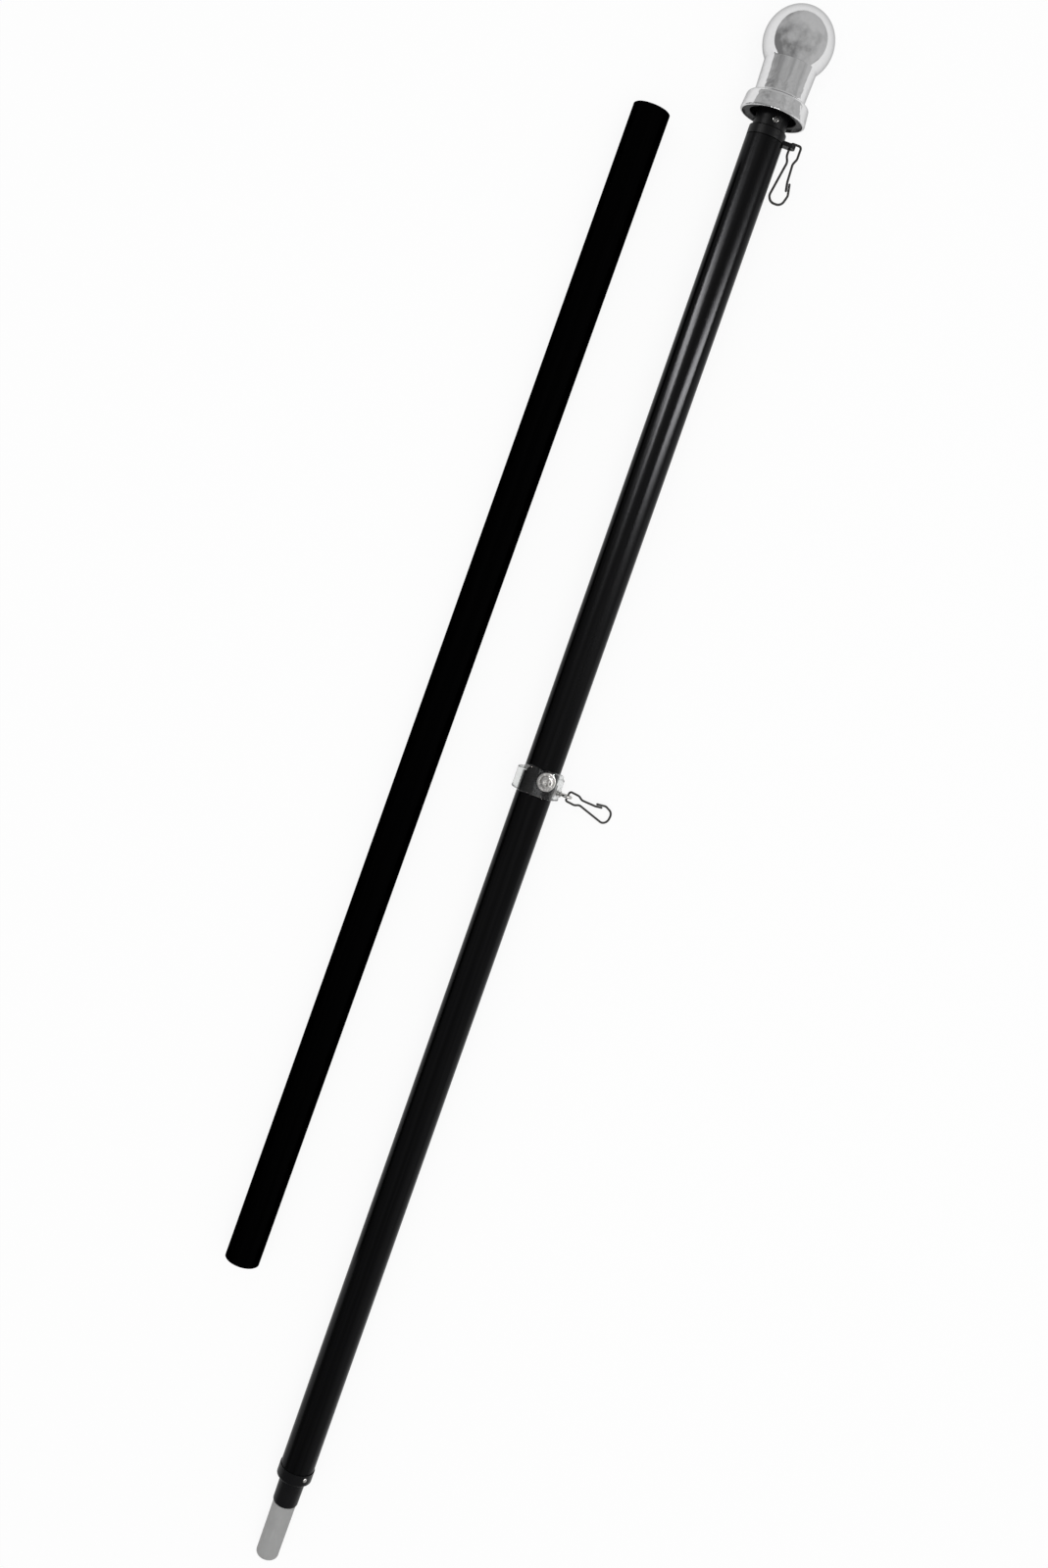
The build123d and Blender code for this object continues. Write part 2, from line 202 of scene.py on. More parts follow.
class ClipSettings(bpy.types.PropertyGroup):
    wire: FloatProperty(name="Wire", description="Wire diameter", unit="LENGTH", default=0.0016)
    span: FloatProperty(
        name="Span", description="Length between the wire's middles", unit="LENGTH", default=0.0394
    )
    head: FloatProperty(name="Head", description="Half width of the head", unit="LENGTH", default=0.0036)
    head_length: FloatProperty(
        name="Head length", description="Length of the head", unit="LENGTH", default=0.0084
    )
    neck: FloatProperty(name="Neck", description="Half width of the neck", unit="LENGTH", default=0.0019)
    neck_place: FloatProperty(
        name="Neck place", description="Neck from the head", unit="LENGTH", default=0.012
    )
    mouth: FloatProperty(
        name="Mouth", description="Half width of the wide end", unit="LENGTH", default=0.0059
    )
    shoulder: FloatProperty(
        name="Shoulder", description="Latched leg's widest place", unit="LENGTH", default=0.032
    )
    heel: FloatProperty(name="Heel", description="Plain leg's widest place", unit="LENGTH", default=0.0355)
    tip: FloatProperty(name="Tip", description="Half width of the end", unit="LENGTH", default=0.0037)
    latch: FloatProperty(name="Latch", description="Place of the latch", unit="LENGTH", default=0.024)
    latch_length: FloatProperty(
        name="Latch length", description="Overlap of the latch", unit="LENGTH", default=0.006
    )
    latch_gap: FloatProperty(
        name="Latch gap", description="Gap in the latch", unit="LENGTH", default=0.00015
    )
    bend: FloatProperty(name="Bend", description="Radius of the bends", unit="LENGTH", default=0.005)
    corner: FloatProperty(
        name="Corner", description="Radius of the head's corners", unit="LENGTH", default=0.0017
    )
    round_end: FloatProperty(
        name="Round end", description="Radius at the wide end", unit="LENGTH", default=0.0046
    )
    seat: FloatProperty(
        name="Seat", description="Head's middle from the eye's bar", unit="LENGTH", default=0.0021
    )
    rise: FloatProperty(
        name="Rise", description="Head's middle above the ear's middle", unit="LENGTH", default=0.0024
    )
    yaw: FloatProperty(
        name="Yaw",
        description="Turn of the ring's clip towards the foot",
        unit="ROTATION",
        default=math.radians(10.5),
    )


class ThreadSettings(bpy.types.PropertyGroup):
    pitch: FloatProperty(
        name="Pitch", description="Pitch of the screw threads", unit="LENGTH", default=0.0008
    )
    depth: FloatProperty(
        name="Depth", description="Height of the thread's ridge", unit="LENGTH", default=0.0003
    )
    turns: IntProperty(name="Turns", description="Turns of thread in the ring's wall", default=5)
    start: FloatProperty(
        name="Start", description="First turn from the pole's axis", unit="LENGTH", default=0.0132
    )
    screw_radius: FloatProperty(
        name="Screw", description="Radius of the screw's shank", unit="LENGTH", default=0.00245
    )
    screw_place: FloatProperty(
        name="Screw place", description="Screw along the pole", unit="LENGTH", default=0.5404
    )
    screw_turn: FloatProperty(
        name="Screw turn", description="Screw from the upper side", unit="ROTATION", default=math.radians(12)
    )
    eye_radius: FloatProperty(
        name="Eye", description="Radius of the eye's shank", unit="LENGTH", default=0.00135
    )
    eye_place: FloatProperty(
        name="Eye place", description="Eye along the pole", unit="LENGTH", default=0.5335
    )


class SpindleSettings(bpy.types.PropertyGroup):
    sleeve: FloatProperty(
        name="Sleeve", description="Diameter of the sleeve", unit="LENGTH", default=0.0192
    )
    sleeve_round: FloatProperty(
        name="Sleeve round", description="Round of its tip", unit="LENGTH", default=0.0016
    )
    peg: FloatProperty(name="Peg", description="Diameter of the peg", unit="LENGTH", default=0.0172)
    peg_round: FloatProperty(
        name="Peg round", description="Round of its end", unit="LENGTH", default=0.0034
    )
    draft: FloatProperty(
        name="Draft", description="Narrowing of each piece to its tip", unit="LENGTH", default=0.0002
    )


class StageSettings(bpy.types.PropertyGroup):
    floor_size: FloatProperty(name="Floor", description="Side of the floor", unit="LENGTH", default=30.0)
    floor_colour: FloatVectorProperty(
        name="Floor colour", description="Pale floor", subtype="COLOR", default=(0.93, 0.93, 0.93)
    )
    floor_glow: FloatProperty(
        name="Floor glow",
        description="Share of plain white in the floor as seen",
        subtype="FACTOR",
        default=0.88,
    )
    mirrored_glow: FloatProperty(
        name="Mirrored glow",
        description="Share of plain white in the floor as mirrored",
        subtype="FACTOR",
        default=0.2,
    )
    room: FloatProperty(name="Room", description="Brightness of the room's light", default=0.55)
    softbox_power: FloatProperty(
        name="Softbox", description="Power of the overhead light", unit="POWER", default=32.0
    )
    strip_power: FloatProperty(
        name="Strip", description="Power of each strip light", unit="POWER", default=16.0
    )
    kicker_power: FloatProperty(
        name="Kicker", description="Power of the low light on the finial", unit="POWER", default=4.0
    )
    gleam_power: FloatProperty(
        name="Gleam", description="Power of the side light on the plated heads", unit="POWER", default=5.0
    )
    lens: FloatProperty(name="Lens", description="Focal length on a 36 mm long side", default=36.0)
    camera_place: FloatVectorProperty(
        name="Camera",
        description="Place of the camera",
        subtype="XYZ",
        unit="LENGTH",
        default=(-0.062, 0.16002, 1.09375),
    )
    camera_turn: FloatVectorProperty(
        name="Camera turn",
        description="Turn of the camera",
        subtype="EULER",
        default=(math.radians(-7.6341), math.radians(-1.4923), math.radians(19.1715)),
    )


class Channel:
    """A node's output that takes part in Python sums."""

    def __init__(self, graph, socket):
        self.graph = graph
        self.socket = socket

    def __add__(self, other):
        return self.graph.maths("ADD", self, other)

    def __radd__(self, other):
        return self.graph.maths("ADD", other, self)

    def __sub__(self, other):
        return self.graph.maths("SUBTRACT", self, other)

    def __rsub__(self, other):
        return self.graph.maths("SUBTRACT", other, self)

    def __mul__(self, other):
        return self.graph.maths("MULTIPLY", self, other)

    def __rmul__(self, other):
        return self.graph.maths("MULTIPLY", other, self)

    def __truediv__(self, other):
        return self.graph.maths("DIVIDE", self, other)

    def __pow__(self, other):
        return self.graph.maths("POWER", self, other)


class Graph:
    """A node tree that grows by one call for each node."""

    def __init__(self, tree):
        self.tree = tree

    def node(self, kind, settings=None, inlets=None, outlet=0):
        """Adds a node with its settings first and then its inlets, and gives the chosen outlet."""
        made = self.tree.nodes.new(kind)
        for name, value in (settings or {}).items():
            if name == "stops":
                stops = made.color_ramp.elements
                while len(stops) < len(value):
                    stops.new(1)
                for stop, (place, tone) in zip(stops, value):
                    stop.position = place
                    stop.color = (tone, tone, tone, 1)
            else:
                setattr(made, name, value)
        for key, value in (inlets or {}).items():
            if isinstance(value, Channel):
                self.tree.links.new(value.socket, made.inputs[key])
            else:
                made.inputs[key].default_value = value
        return Channel(self, made.outputs[outlet]) if made.outputs else None

    def maths(self, operation, *values):
        """One Math node on one or two values."""
        return self.node("ShaderNodeMath", {"operation": operation}, dict(enumerate(values)))

    def noise(self, vector, scale, detail=2.0, roughness=0.5):
        """Even noise between zero and one."""
        inlets = {"Vector": vector, "Scale": scale, "Detail": detail, "Roughness": roughness}
        return self.node("ShaderNodeTexNoise", None, inlets, "Fac")

    def streaks(self, space, scales, detail):
        """Noise with its own scale across, up and along a pole."""
        stretched = [part * scale for part, scale in zip(space, scales)]
        return self.noise(self.point(*stretched), 1.0, detail)

    def ramp(self, value, low, high):
        """Zero at low, one at high, eased between them and level beyond."""
        settings = {"interpolation_type": "SMOOTHSTEP", "clamp": True}
        return self.node("ShaderNodeMapRange", settings, {"Value": value, "From Min": low, "From Max": high})

    def blend(self, share, first, second):
        """One colour run into another."""
        return self.node("ShaderNodeMix", {"data_type": "RGBA"}, {0: share, 6: first, 7: second}, 2)

    def bump(self, height, strength, depth):
        """A surface normal from a height."""
        inlets = {"Height": height, "Strength": strength, "Distance": depth}
        return self.node("ShaderNodeBump", None, inlets, "Normal")

    def place(self):
        """A point's place in the shared frame."""
        return self.node("ShaderNodeTexCoord", outlet="Object")

    def ray(self, kind):
        """One on rays of this kind, zero on the others."""
        return self.node("ShaderNodeLightPath", outlet=f"Is {kind} Ray")

    def dot(self, first, second):
        """How far one vector goes along another."""
        inlets = {0: first, 1: second}
        return self.node("ShaderNodeVectorMath", {"operation": "DOT_PRODUCT"}, inlets, "Value")

    def along(self, origin, axis):
        """Distance of a point from a plane through the origin, measured along the axis."""
        inlets = {0: self.place(), 1: origin}
        return self.dot(self.node("ShaderNodeVectorMath", {"operation": "SUBTRACT"}, inlets), axis)

    def pole_space(self, origin, axis):
        """Distances across, up and along a pole's own axis."""
        up = ACROSS.cross(axis).normalized()
        side = axis.cross(up)
        return self.along(origin, side), self.along(origin, up), self.along(origin, axis)

    def point(self, x, y, z):
        return self.node("ShaderNodeCombineXYZ", None, {0: x, 1: y, 2: z})


def tint(colour, share=1.0):
    """A colour for a node's socket, darkened or lightened by its share."""
    return (*[share * part for part in colour], 1.0)


def new_finish(name):
    """An empty material and the graph of its nodes."""
    material = bpy.data.materials.new(name)
    material.use_nodes = True
    material.node_tree.nodes.clear()
    return material, Graph(material.node_tree)


def close_finish(graph, inlets):
    """Ends a material in one principled surface."""
    surface = graph.node("ShaderNodeBsdfPrincipled", None, inlets)
    graph.node("ShaderNodeOutputMaterial", None, {"Surface": surface})


def satin_tube(name, colour, glance, origin, axis, ends):
    """Black drawn tube: long die lines, a little tone along it, sawn end faces and rubbed edges."""
    settings = bpy.context.scene.flagpole_tubes
    material, graph = new_finish(name)
    space = graph.pole_space(origin, axis)
    place = graph.point(*space)
    along = space[2]
    bands = graph.streaks(space, (260.0, 260.0, 2.5), 3.0)
    die_lines = graph.streaks(space, (2600.0, 2600.0, 9.0), 2.0)
    specks = graph.ramp(graph.noise(place, 900.0, 1.0), 0.7, 0.8)
    rim = graph.ramp(along, ends[0] + settings.rubbed_edge, ends[0])
    rim = rim + graph.ramp(along, ends[1] - settings.rubbed_edge, ends[1])
    face = graph.ramp(rim, 0.94, 0.99)
    patches = graph.ramp(graph.noise(place, 380.0, 2.0), 0.35, 0.75)
    saw_marks = graph.streaks(space, (300.0, 6000.0, 1.0), 2.0)
    worn = rim * patches * (1.0 - face) + face * (0.4 + saw_marks * 0.5)
    tone = graph.blend(graph.ramp(bands, 0.35, 0.7), tint(colour, 0.8), tint(colour, 1.25))
    satin = settings.roughness - 0.06 + bands * 0.08 + die_lines * 0.06
    close_finish(
        graph,
        {
            "Base Color": graph.blend(worn, tone, tint(settings.bare_colour)),
            "Metallic": 1.0,
            "Roughness": satin + specks * 0.12 + face * 0.2,
            "Specular Tint": tint(glance),
            "Normal": graph.bump(die_lines * 0.7 + bands * 0.3, 0.12, 0.0002),
        },
    )
    return material


def black_moulding(name, origin, axis):
    """Black moulded plastic: fine grain, a faint parting line on both sides and scuffed tone."""
    settings = bpy.context.scene.flagpole_mouldings
    material, graph = new_finish(name)
    across, up, along = graph.pole_space(origin, axis)
    place = graph.point(across, up, along)
    grain = graph.noise(place, 1 / settings.grain, 2.0)
    cloud = graph.noise(place, 60.0, 3.0)
    parting_line = 1.0 - graph.ramp(graph.maths("ABSOLUTE", up), 0.00006, 0.00016)
    close_finish(
        graph,
        {
            "Base Color": graph.blend(cloud, tint(settings.black, 0.7), tint(settings.black, 1.5)),
            "Roughness": 0.22 + grain * 0.12 + cloud * 0.08,
            "Specular IOR Level": 0.13,
            "Normal": graph.bump(grain * 0.4 + parting_line, 0.22, 0.0001),
        },
    )
    return material


def grey_moulding(name, origin, axis):
    """Grey peg: matt, with faint rings from turning and small scuffs along it."""
    settings = bpy.context.scene.flagpole_mouldings
    material, graph = new_finish(name)
    space = graph.pole_space(origin, axis)
    rings = graph.streaks(space, (20.0, 20.0, 1500.0), 2.0)
    cloud = graph.noise(graph.point(*space), 120.0, 4.0)
    scuffs = graph.ramp(graph.streaks(space, (1500.0, 1500.0, 90.0), 3.0), 0.6, 0.75)
    shade = cloud * 0.6 + scuffs * 0.4
    close_finish(
        graph,
        {
            "Base Color": graph.blend(shade, tint(settings.grey, 0.82), tint(settings.grey, 1.12)),
            "Roughness": 0.5 + rings * 0.12 - scuffs * 0.12,
            "Specular IOR Level": 0.3,
            "Normal": graph.bump(rings * 0.6 + cloud * 0.4, 0.14, 0.0001),
        },
    )
    return material


def clear_moulding(name):
    """Clear ring: glassy plastic with soft flow waves and a few fine scratches."""
    settings = bpy.context.scene.flagpole_mouldings
    material, graph = new_finish(name)
    place = graph.place()
    waves = graph.noise(place, 190.0, 2.0)
    scratches = graph.ramp(graph.noise(place, 1400.0, 4.0), 0.6, 0.8)
    close_finish(
        graph,
        {
            "Base Color": tint(settings.clear),
            "Roughness": 0.04 + scratches * 0.12 + waves * 0.03,
            "IOR": 1.36,
            "Transmission Weight": 1.0,
            "Normal": graph.bump(waves, 0.1, 0.0004),
        },
    )
    return material


def mirror_plating(name, foot):
    """Mirror plating over a moulded core that is less even towards its collar, with a breath of haze."""
    settings = bpy.context.scene.flagpole_metals
    material, graph = new_finish(name)
    place = graph.place()
    uneven = graph.ramp(graph.along(foot, POLE_AXIS), 0.03, 0.012)
    dimples = graph.noise(place, 260.0, 1.5) * (0.03 + uneven * 0.35)
    ripple = graph.noise(place, 110.0, 1.5) * (0.12 + uneven * 0.5)
    haze = graph.noise(place, 420.0, 3.0)
    close_finish(
        graph,
        {
            "Base Color": graph.blend(haze, tint(settings.mirror, 0.93), tint(settings.mirror, 1.05)),
            "Metallic": 1.0,
            "Roughness": 0.03 + graph.ramp(haze, 0.5, 0.8) * 0.05,
            "Specular Tint": tint(settings.mirror_glance),
            "Normal": graph.bump(dimples + ripple, 1.0, 0.001),
        },
    )
    return material


def bright_metal(name, colour, polish):
    """Plated steel: fine polishing marks and a duller tone in patches."""
    material, graph = new_finish(name)
    place = graph.place()
    marks = graph.noise(place, 3200.0, 3.0)
    dull = graph.noise(place, 520.0, 3.0)
    close_finish(
        graph,
        {
            "Base Color": graph.blend(dull, tint(colour, 0.75), tint(colour, 1.15)),
            "Metallic": 1.0,
            "Roughness": polish + marks * 0.1 + graph.ramp(dull, 0.45, 0.7) * 0.12,
            "Normal": graph.bump(marks, 0.06, 0.0001),
        },
    )
    return material


def span_along(node, radius):
    """Where a round node of the foot starts and ends along the pole, measured from the tube's end."""
    low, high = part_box(node)
    lean = radius * abs(POLE_AXIS.z)
    return (low.y + lean - POLE_FOOT.y) / POLE_AXIS.y, (high.y - lean - POLE_FOOT.y) / POLE_AXIS.y


def paint(node, material):
    """Gives a solid of the frame its finish."""
    frame["nodes"][node].material_slots[0].material = material


def new_tree(name, sizes, kind="NodeSocketFloat"):
    """An empty geometry tree that takes a path, its named sizes and a material."""
    tree = bpy.data.node_groups.new(name, "GeometryNodeTree")
    tree.interface.new_socket("Path", in_out="INPUT", socket_type="NodeSocketGeometry")
    for size in sizes:
        tree.interface.new_socket(size, in_out="INPUT", socket_type=kind)
    tree.interface.new_socket("Finish", in_out="INPUT", socket_type="NodeSocketMaterial")
    tree.interface.new_socket("Piece", in_out="OUTPUT", socket_type="NodeSocketGeometry")
    graph = Graph(tree)
    sockets = graph.node("NodeGroupInput").socket.node.outputs
    return tree, graph, {socket.name: Channel(graph, socket) for socket in sockets if socket.name}


def close_tree(graph, piece, finish):
    """Smooths, realises and paints a tree's piece."""
    smooth = graph.node("GeometryNodeSetShadeSmooth", None, {"Geometry": piece})
    whole = graph.node("GeometryNodeRealizeInstances", None, {"Geometry": smooth})
    painted = graph.node("GeometryNodeSetMaterial", None, {"Geometry": whole, "Material": finish})
    graph.node("NodeGroupOutput", None, {"Piece": painted})


def grow(name, tree, path, values, place):
    """Runs a tree on a path and gives a plain mesh piece that sits at its place."""
    seed = bpy.data.objects.new(name + "_path", path)
    bpy.context.scene.collection.objects.link(seed)
    modifier = seed.modifiers.new("Tree", "NODES")
    modifier.node_group = tree
    identifiers = {item.name: item.identifier for item in tree.interface.items_tree if item.in_out == "INPUT"}
    for size, value in values.items():
        modifier[identifiers[size]] = value
    evaluated = seed.evaluated_get(bpy.context.evaluated_depsgraph_get())
    mesh = bpy.data.meshes.new_from_object(evaluated)
    bpy.data.objects.remove(seed)
    if not mesh.polygons:
        raise RuntimeError(f"{name} came out empty")
    mesh.name = name
    mesh.transform(place)
    piece = bpy.data.objects.new(name, mesh)
    bpy.context.scene.collection.objects.link(piece)
    return piece


def place_matrix(origin, x, y, z):
    """A place from its origin and its own three directions."""
    return Matrix.Translation(origin) @ Matrix((x, y, z)).transposed().to_4x4()


def point_value(graph, name):
    """The number that each point of a path carries under a name."""
    settings = {"data_type": "FLOAT"}
    return graph.node("GeometryNodeInputNamedAttribute", settings, {"Name": name}, "Attribute")


def circle(graph, sides, radius):
    """A round profile."""
    inlets = {"Resolution": sides, "Radius": radius}
    return graph.node("GeometryNodeCurvePrimitiveCircle", {"mode": "RADIUS"}, inlets)


def sweep(graph, line, profile, scale=1.0):
    """A profile drawn along a line and closed at both ends."""
    inlets = {"Curve": line, "Profile Curve": profile, "Scale": scale, "Fill Caps": True}
    return graph.node("GeometryNodeCurveToMesh", None, inlets)


def bent_wire_tree():
    """Round wire along a path of corners, each rounded by its own bend, with nosed ends."""
    tree, graph, inlets = new_tree("Bent wire", ("Wire", "Step"))
    line = graph.node("GeometryNodeMeshToCurve", None, {"Mesh": inlets["Path"]})
    bend = point_value(graph, "bend")
    fillet = {"Curve": line, "Count": BEND_STEPS, "Radius": bend, "Limit Radius": True}
    rounded = graph.node("GeometryNodeFilletCurve", {"mode": "POLY"}, fillet)
    resample = {"Curve": rounded, "Length": inlets["Step"]}
    even = graph.node("GeometryNodeResampleCurve", {"mode": "LENGTH"}, resample)
    from_start = graph.node("GeometryNodeSplineParameter", outlet="Length")
    whole = graph.node("GeometryNodeSplineLength", outlet="Length")
    from_end = graph.maths("MINIMUM", from_start, whole - from_start)
    radius = inlets["Wire"] * 0.5
    reach = graph.maths("MINIMUM", from_end / radius, 1.0)
    nose = graph.maths("MAXIMUM", (1.0 - (1.0 - reach) ** 2.0) ** 0.5, NOSE_FLAT)
    wire = sweep(graph, even, circle(graph, WIRE_SIDES, radius), nose)
    close_tree(graph, wire, inlets["Finish"])
    return tree


def thread_tree():
    """A screw thread's ridge, wound up the Z axis."""
    tree, graph, inlets = new_tree("Screw thread", ("Turns", "Radius", "Pitch", "Depth"))
    winding = {
        "Resolution": THREAD_STEPS,
        "Rotations": inlets["Turns"],
        "Start Radius": inlets["Radius"],
        "End Radius": inlets["Radius"],
        "Height": inlets["Turns"] * inlets["Pitch"],
    }
    coil = graph.node("GeometryNodeCurveSpiral", None, winding)
    ridge = sweep(graph, coil, circle(graph, RIDGE_SIDES, inlets["Depth"]))
    close_tree(graph, ridge, inlets["Finish"])
    return tree


def turned_tree():
    """A round piece along a straight path, as wide at each point as the point says."""
    tree, graph, inlets = new_tree("Turned piece", ("Sides",), "NodeSocketInt")
    line = graph.node("GeometryNodeMeshToCurve", None, {"Mesh": inlets["Path"]})
    piece = sweep(graph, line, circle(graph, inlets["Sides"], 1.0), point_value(graph, "wide"))
    close_tree(graph, piece, inlets["Finish"])
    return tree


def path_mesh(name, points, label, values):
    """An open line of points, each with a number of its own under a label."""
    path = bpy.data.meshes.new(name)
    path.from_pydata(points, [(i, i + 1) for i in range(len(points) - 1)], [])
    numbers = path.attributes.new(label, "FLOAT", "POINT")
    for item, value in zip(numbers.data, values):
        item.value = value
    return path


def turned_path(tip, root, diameter, draft, rounding):
    """Points along +X from a rounded tip to a square root, each with its radius."""
    radius = diameter / 2
    slim = radius - draft
    quarter = [math.radians(angle) for angle in range(0, 91, ROUND_STEP)]
    points = [(tip + rounding * (1 - math.cos(a)), slim - rounding * (1 - math.sin(a))) for a in quarter]
    points += [(tip + 2 * rounding, slim), (root - rounding, radius), (root, radius)]
    return path_mesh("turned_path", [(x, 0, 0) for x, _ in points], "wide", [wide for _, wide in points])


def clip_path():
    """The clip's corners in its own plane, head at zero along +X, with each corner's bend."""
    s = bpy.context.scene.flagpole_clips
    spread = (s.mouth - s.neck) / (s.shoulder - s.neck_place)
    outer = s.neck + (s.latch - s.neck_place) * spread
    inner = outer - s.wire - s.latch_gap
    corners = [
        (s.latch + s.latch_length, inner + s.latch_length * spread, 0),
        (s.latch, inner, s.bend),
        (s.neck_place, s.neck, s.bend),
        (s.head_length, s.head, s.bend),
        (0, s.head, s.corner),
        (0, -s.head, s.corner),
        (s.head_length, -s.head, s.bend),
        (s.neck_place, -s.neck, s.bend),
        (s.heel, -s.mouth, s.round_end),
        (s.span, -s.tip, s.round_end),
        (s.span, s.tip, s.round_end),
        (s.shoulder, s.mouth, s.round_end),
        (s.latch, outer, 0),
    ]
    places = [(x, y, 0) for x, y, _ in corners]
    return path_mesh("clip_path", places, "bend", [bend for _, _, bend in corners])


class FLAGPOLE_OT_tubes(bpy.types.Operator):
    """Finish both black tubes"""

    bl_idname = "flagpole.tubes"
    bl_label = "Tubes"

    def execute(self, context):
        settings = context.scene.flagpole_tubes
        low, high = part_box("upper_tube")
        ends = (0.0, (high.y - low.y) / POLE_AXIS.y)
        colours = (settings.upper_colour, settings.upper_glance)
        paint("upper_tube", satin_tube("satin_black_upper", *colours, POLE_FOOT, POLE_AXIS, ends))
        half = mounts["pole_foot"]["dims"]["length_mm"] / MM_PER_METRE / 2 + TUBE_EDGE_BREAK
        ends = (-half, half)
        # Painted shade: the lower tube takes a darker copy of the upper tube's black and glance
        colours = (settings.lower_shade_colour, settings.lower_shade_glance)
        paint("lower_tube", satin_tube("satin_black_lower_shaded", *colours, LOWER_MIDDLE, LOWER_AXIS, ends))
        return {"FINISHED"}


class FLAGPOLE_OT_mouldings(bpy.types.Operator):
    """Finish the plug and the bearing collar, and turn the sleeve and the peg"""

    bl_idname = "flagpole.mouldings"
    bl_label = "Mouldings"

    def execute(self, context):
        black = black_moulding("black_moulding", POLE_FOOT, POLE_AXIS)
        grey = grey_moulding("grey_moulding", POLE_FOOT, POLE_AXIS)
        for node in ("top_plug", "bottom_collar"):
            paint(node, black)
        s = context.scene.flagpole_spindle
        peg_end = span_along("spindle_peg", s.peg / 2)[0]
        sleeve_tip, sleeve_root = span_along("joint_sleeve", s.sleeve / 2)
        peg_sizes = (peg_end, sleeve_tip, s.peg, s.draft, s.peg_round)
        sleeve_sizes = (sleeve_tip, sleeve_root, s.sleeve, s.draft, s.sleeve_round)
        turned = {
            "spindle_peg": (peg_sizes, grey, "grey_plastic"),
            "joint_sleeve": (sleeve_sizes, black, "black_plastic"),
        }
        tree = turned_tree()
        place = place_matrix(POLE_FOOT, POLE_AXIS, UP, POLE_AXIS.cross(UP))
        for node, (sizes, finish, slot) in turned.items():
            values = {"Sides": TURNED_SIDES, "Finish": finish}
            piece = grow(node + "_turned", tree, turned_path(*sizes), values, place)
            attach(piece, "spindle")
            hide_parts(node)
        return {"FINISHED"}


class FLAGPOLE_OT_finial(bpy.types.Operator):
    """Finish the mirror ball finial"""

    bl_idname = "flagpole.finial"
    bl_label = "Ball finial"

    def execute(self, context):
        foot = EAR_HOLE + POLE_AXIS * context.scene.flagpole_metals.finial_rise
        paint("ball_finial", mirror_plating("mirror_plating", foot))
        return {"FINISHED"}


class FLAGPOLE_OT_fasteners(bpy.types.Operator):
    """Finish the clear ring with its screw, eye and their threads, the neck screw and the rivet"""

    bl_idname = "flagpole.fasteners"
    bl_label = "Ring and fasteners"

    def execute(self, context):
        metals = context.scene.flagpole_metals
        thread = context.scene.flagpole_threads
        nickel = bright_metal("nickel", metals.screw, polish=0.08)
        for node in ("clamp_screw", "ring_eye", "collar_rivet"):
            paint(node, nickel)
        paint("neck_screw", bright_metal("dark_steel", metals.dark_screw, polish=0.14))
        paint("clamp_ring", clear_moulding("clear_moulding"))
        tree = thread_tree()
        out = ACROSS * math.sin(thread.screw_turn) + UP * math.cos(thread.screw_turn)
        threads = {
            "screw_thread": (thread.screw_radius, thread.screw_place, out),
            "eye_thread": (thread.eye_radius, thread.eye_place, ACROSS),
        }
        for name, (radius, along, axis) in threads.items():
            start = POLE_FOOT + POLE_AXIS * along + axis * thread.start
            place = place_matrix(start, POLE_AXIS, axis.cross(POLE_AXIS), axis)
            values = {
                "Turns": float(thread.turns),
                "Radius": radius,
                "Pitch": thread.pitch,
                "Depth": thread.depth,
                "Finish": nickel,
            }
            ridge = grow(name, tree, bpy.data.meshes.new(name + "_path"), values, place)
            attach(ridge, "ring")
        return {"FINISHED"}


class FLAGPOLE_OT_clips(bpy.types.Operator):
    """Bend the two wire clips"""

    bl_idname = "flagpole.clips"
    bl_label = "Wire clips"

    def execute(self, context):
        settings = context.scene.flagpole_clips
        steel = bright_metal("wire_steel", context.scene.flagpole_metals.wire, polish=0.16)
        tree = bent_wire_tree()
        values = {"Wire": settings.wire, "Step": settings.wire / STEPS_PER_WIRE, "Finish": steel}
        out = POLE_AXIS.cross(CLIP_NORMAL) * math.cos(settings.yaw) - POLE_AXIS * math.sin(settings.yaw)
        at_eye = place_matrix(EYE_BAR - out * settings.seat, out, CLIP_NORMAL.cross(out), CLIP_NORMAL)
        head = EAR_HOLE + ACROSS * settings.head + POLE_AXIS * settings.rise
        at_ear = place_matrix(head, -POLE_AXIS, ACROSS, UP)
        places = {"ring_clip": ("ring_snap", at_eye), "top_clip": ("top_snap", at_ear)}
        for node, (body, place) in places.items():
            wire = grow(node + "_wire", tree, clip_path(), values, place)
            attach(wire, body)
            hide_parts(node)
        return {"FINISHED"}


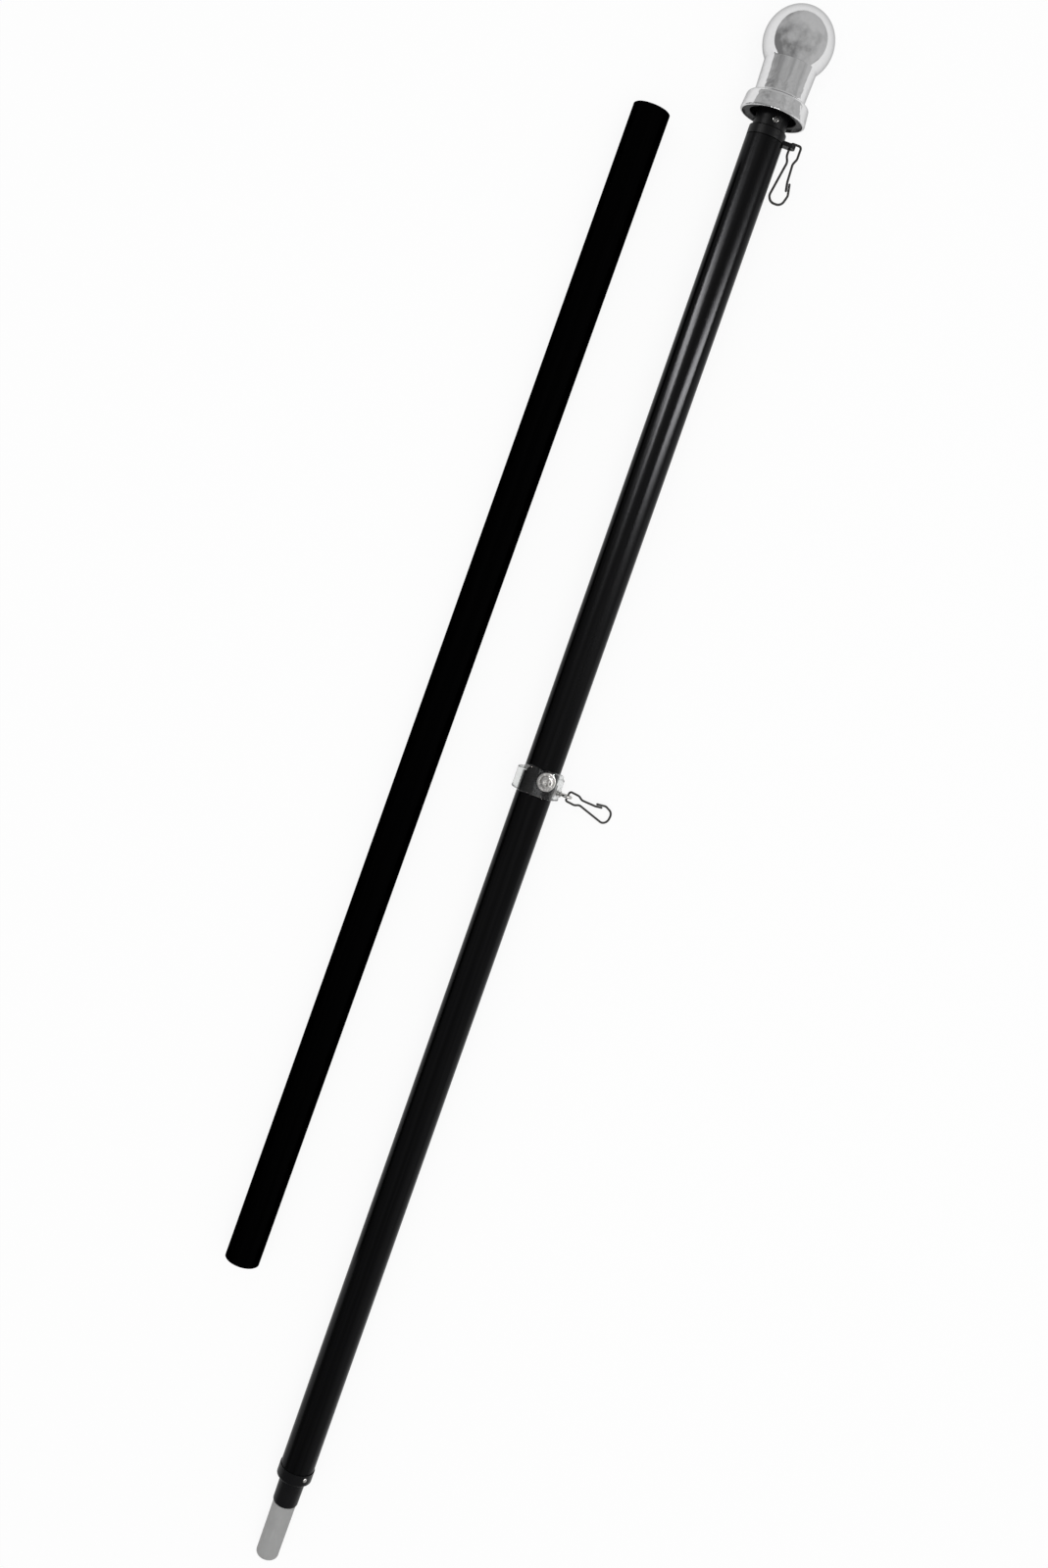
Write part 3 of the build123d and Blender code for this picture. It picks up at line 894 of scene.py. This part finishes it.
class FLAGPOLE_OT_stage(bpy.types.Operator):
    """Lay the floor, light it and set the camera"""

    bl_idname = "flagpole.stage"
    bl_label = "Stage"

    def floor(self, settings):
        """A pale floor that is nearly plain white where it is seen and keeps the shadows."""
        half = settings.floor_size / 2
        corners = [(x * half, y * half, -FLOOR_DROP) for x, y in ((-1, -1), (1, -1), (1, 1), (-1, 1))]
        mesh = bpy.data.meshes.new("floor")
        mesh.from_pydata(corners, [], [(0, 1, 2, 3)])
        floor = bpy.data.objects.new("floor", mesh)
        bpy.context.scene.collection.objects.link(floor)
        material, graph = new_finish("floor_paper")
        plain = graph.node("ShaderNodeBsdfDiffuse", None, {"Color": tint(settings.floor_colour)})
        glow = graph.node("ShaderNodeEmission", None, {"Color": WHITE, "Strength": 1.0})
        seen = graph.ray("Camera") + graph.ray("Transmission")
        share = seen * settings.floor_glow + graph.ray("Glossy") * settings.mirrored_glow
        mixed = graph.node("ShaderNodeMixShader", None, {0: share, 1: plain, 2: glow})
        graph.node("ShaderNodeOutputMaterial", None, {"Surface": mixed})
        mesh.materials.append(material)

    def room(self, settings):
        """Even light all round, white where it is seen and a clouded grey room where it is mirrored."""
        world = bpy.data.worlds.new("room")
        bpy.context.scene.world = world
        world.use_nodes = True
        world.node_tree.nodes.clear()
        graph = Graph(world.node_tree)
        place = graph.place()
        shade = graph.noise(place, 1.7, 4.0, 0.45) + graph.dot(place, ROOM_LEAN) * 0.3
        grey = graph.node("ShaderNodeValToRGB", {"stops": ROOM_TONES}, {"Fac": shade})
        seen = graph.blend(graph.ray("Camera"), tint([settings.room] * 3), WHITE)
        colour = graph.blend(graph.ray("Glossy"), seen, grey)
        light = graph.node("ShaderNodeBackground", None, {"Color": colour, "Strength": 1.0})
        graph.node("ShaderNodeOutputWorld", None, {"Surface": light})

    def gather(self, name, pieces):
        """A collection of the pieces that a light falls on."""
        lit = bpy.data.collections.new(name)
        for piece in pieces:
            lit.objects.link(piece)
        return lit

    def lamp(self, name, power, lit=None):
        """An area light that isn't mirrored, or one that only shows as gloss on the pieces it is given."""
        spot = LAMPS[name]
        data = bpy.data.lights.new(name, "AREA")
        data.shape = "RECTANGLE"
        data.size, data.size_y = spot["size"]
        data.energy = power
        lamp = bpy.data.objects.new(name, data)
        bpy.context.scene.collection.objects.link(lamp)
        lamp.location = spot["place"]
        aim = Vector(spot["aim"]) - Vector(spot["place"])
        lamp.rotation_euler = aim.to_track_quat("-Z", "Y").to_euler()
        lamp.visible_glossy = lit is not None
        if lit:
            lamp.visible_diffuse = False
            lamp.light_linking.receiver_collection = lit

    def camera(self, settings):
        """The camera at the photograph's viewing angle."""
        data = bpy.data.cameras.new("camera")
        data.lens = settings.lens
        data.sensor_width = SENSOR
        camera = bpy.data.objects.new("camera", data)
        bpy.context.scene.collection.objects.link(camera)
        camera.location = settings.camera_place
        camera.rotation_euler = Euler(settings.camera_turn)
        bpy.context.scene.camera = camera

    def execute(self, context):
        settings = context.scene.flagpole_stage
        self.floor(settings)
        self.room(settings)
        self.lamp("softbox", settings.softbox_power)
        plain = {"ball_finial", "floor", "lower_tube", "ring_clip_wire", "top_clip_wire"}
        striped = [item for item in bpy.data.objects if item.type == "MESH" and item.name not in plain]
        left = [item for item in striped if item.name not in ("clamp_screw", "screw_thread")]
        self.lamp("strip_left", settings.strip_power, self.gather("left_striped", left))
        self.lamp("strip_right", settings.strip_power, self.gather("right_striped", striped))
        finial = [frame["nodes"]["ball_finial"]]
        self.lamp("kicker", settings.kicker_power, self.gather("mirror_lit", finial))
        heads = [frame["nodes"][node] for node in ("clamp_screw", "ring_eye", "collar_rivet")]
        self.lamp("gleam", settings.gleam_power, self.gather("gleam_lit", heads))
        self.camera(settings)
        context.scene.view_settings.view_transform = "Standard"
        return {"FINISHED"}


OPERATORS = (
    FLAGPOLE_OT_tubes,
    FLAGPOLE_OT_mouldings,
    FLAGPOLE_OT_finial,
    FLAGPOLE_OT_fasteners,
    FLAGPOLE_OT_clips,
    FLAGPOLE_OT_stage,
)


class FLAGPOLE_PT_pieces(bpy.types.Panel):
    """The flagpole's pieces"""

    bl_idname = "FLAGPOLE_PT_pieces"
    bl_label = "Flagpole"
    bl_space_type = "VIEW_3D"
    bl_region_type = "UI"
    bl_category = "Flagpole"

    def draw(self, context):
        for operator in OPERATORS:
            self.layout.operator(operator.bl_idname)


GROUPS = {
    "flagpole_tubes": TubeSettings,
    "flagpole_mouldings": MouldingSettings,
    "flagpole_metals": MetalSettings,
    "flagpole_clips": ClipSettings,
    "flagpole_threads": ThreadSettings,
    "flagpole_spindle": SpindleSettings,
    "flagpole_stage": StageSettings,
}


def register():
    for name, group in GROUPS.items():
        bpy.utils.register_class(group)
        setattr(bpy.types.Scene, name, PointerProperty(type=group))
    for operator in OPERATORS:
        bpy.utils.register_class(operator)
    bpy.utils.register_class(FLAGPOLE_PT_pieces)


def unregister():
    bpy.utils.unregister_class(FLAGPOLE_PT_pieces)
    for operator in reversed(OPERATORS):
        bpy.utils.unregister_class(operator)
    for name, group in reversed(GROUPS.items()):
        delattr(bpy.types.Scene, name)
        bpy.utils.unregister_class(group)


def main():
    register()
    bpy.ops.flagpole.tubes()
    bpy.ops.flagpole.mouldings()
    bpy.ops.flagpole.finial()
    bpy.ops.flagpole.fasteners()
    bpy.ops.flagpole.clips()
    bpy.ops.flagpole.stage()


if __name__ == "__main__":
    main()
